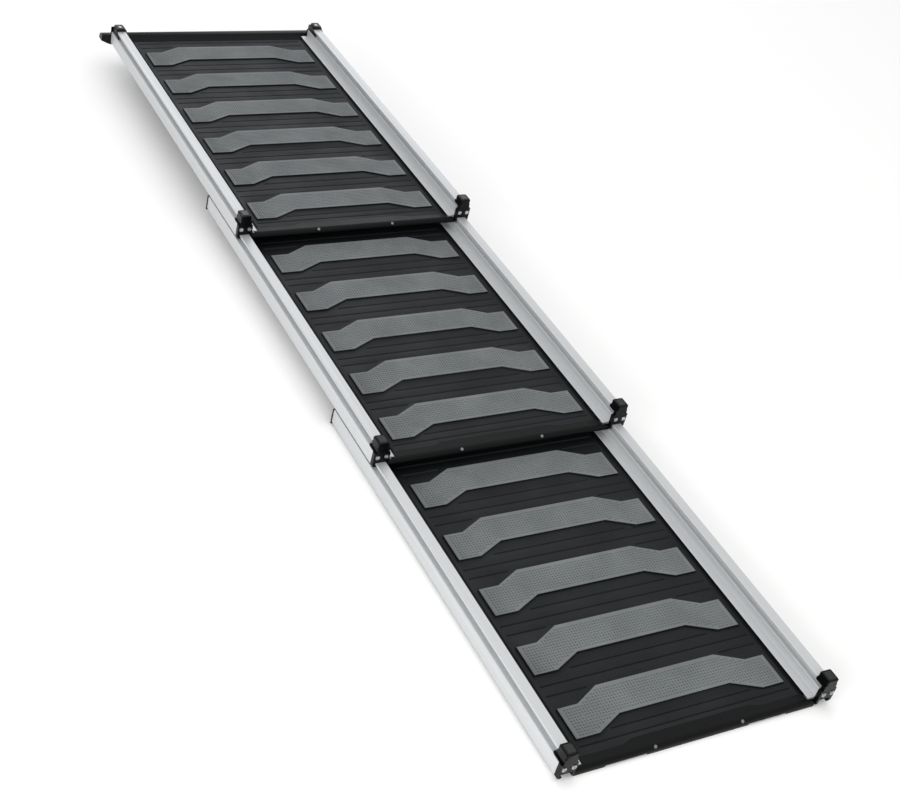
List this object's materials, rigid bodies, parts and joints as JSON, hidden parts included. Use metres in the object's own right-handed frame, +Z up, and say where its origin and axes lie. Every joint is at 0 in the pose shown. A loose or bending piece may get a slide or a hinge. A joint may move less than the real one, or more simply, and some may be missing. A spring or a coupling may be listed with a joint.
{
  "type": "telescoping dog ramp",
  "caption": "Telescoping dog ramp of nested sections: moulded decks with bowed grip treads between aluminium side rails, drawn fully out.",
  "frame": {"origin": "centre of the bounding box's base, on the ground under the ramp lying flat and fully extended", "axes": "+Y up the ramp from the lower end to the rest bar, +X across it to the right, +Z up"},
  "size_m": [0.458, 1.7723, 0.0987],
  "materials": {
    "rail_aluminium": "satin anodised extrusion",
    "brace_aluminium": "mill-finish strip",
    "deck_plastic": "fine textured black moulding",
    "tread_rubber": "grey rubber with a fine grid of studs",
    "gloss_black_plastic": "smooth glossy black moulding",
    "shoe_plastic": "satin black moulding",
    "bumper_rubber": "satin black rubber",
    "foot_rubber": "matt black rubber",
    "glide_plastic": "natural acetal",
    "screw_steel": "zinc-plated steel",
    "rivet_aluminium": "bright blind rivet"
  },
  "bodies": {
    "lower_section": {"lower_rail_left": "rail_aluminium", "lower_rail_right": "rail_aluminium", "lower_deck": "deck_plastic", "lower_treads": "tread_rubber", "lower_nose": "gloss_black_plastic", "lower_crossbar": "gloss_black_plastic", "lower_braces": "brace_aluminium", "lower_cap_left": "gloss_black_plastic", "lower_cap_right": "gloss_black_plastic", "lower_shoe_left": "shoe_plastic", "lower_shoe_right": "shoe_plastic", "lower_end_plates": "gloss_black_plastic", "lower_cap_screws": "screw_steel", "lower_bumper_pads": "bumper_rubber", "lower_rivets": "rivet_aluminium", "lower_shoe_screws": "screw_steel", "lower_feet": "foot_rubber"},
    "middle_section": {"middle_rail_left": "rail_aluminium", "middle_rail_right": "rail_aluminium", "middle_deck": "deck_plastic", "middle_treads": "tread_rubber", "middle_nose": "gloss_black_plastic", "middle_crossbar": "gloss_black_plastic", "middle_braces": "brace_aluminium", "middle_cap_left": "gloss_black_plastic", "middle_cap_right": "gloss_black_plastic", "middle_shoe_left": "shoe_plastic", "middle_shoe_right": "shoe_plastic", "middle_end_plates": "gloss_black_plastic", "middle_cap_screws": "screw_steel", "middle_bumper_pads": "bumper_rubber", "middle_rivets": "rivet_aluminium", "middle_shoe_screws": "screw_steel", "middle_glide_left": "glide_plastic", "middle_glide_right": "glide_plastic", "middle_glide_pins": "screw_steel"},
    "upper_section": {"upper_rail_left": "rail_aluminium", "upper_rail_right": "rail_aluminium", "upper_deck": "deck_plastic", "upper_treads": "tread_rubber", "upper_nose": "gloss_black_plastic", "upper_rest_bar": "gloss_black_plastic", "upper_braces": "brace_aluminium", "upper_cap_left": "gloss_black_plastic", "upper_cap_right": "gloss_black_plastic", "upper_shoe_left": "shoe_plastic", "upper_shoe_right": "shoe_plastic", "upper_cap_screws": "screw_steel", "upper_bumper_pads": "bumper_rubber", "upper_rivets": "rivet_aluminium", "upper_shoe_screws": "screw_steel", "upper_bar_screws": "screw_steel", "upper_glide_left": "glide_plastic", "upper_glide_right": "glide_plastic", "upper_glide_pins": "screw_steel"}
  },
  "joints": [
    {"name": "middle_slide", "type": "slide", "parent": "lower_section", "child": "middle_section", "axis": [0, 1, 0], "range_m": [-0.516, 0]},
    {"name": "upper_slide", "type": "slide", "parent": "middle_section", "child": "upper_section", "axis": [0, 1, 0], "range_m": [-0.516, 0]}
  ]
}
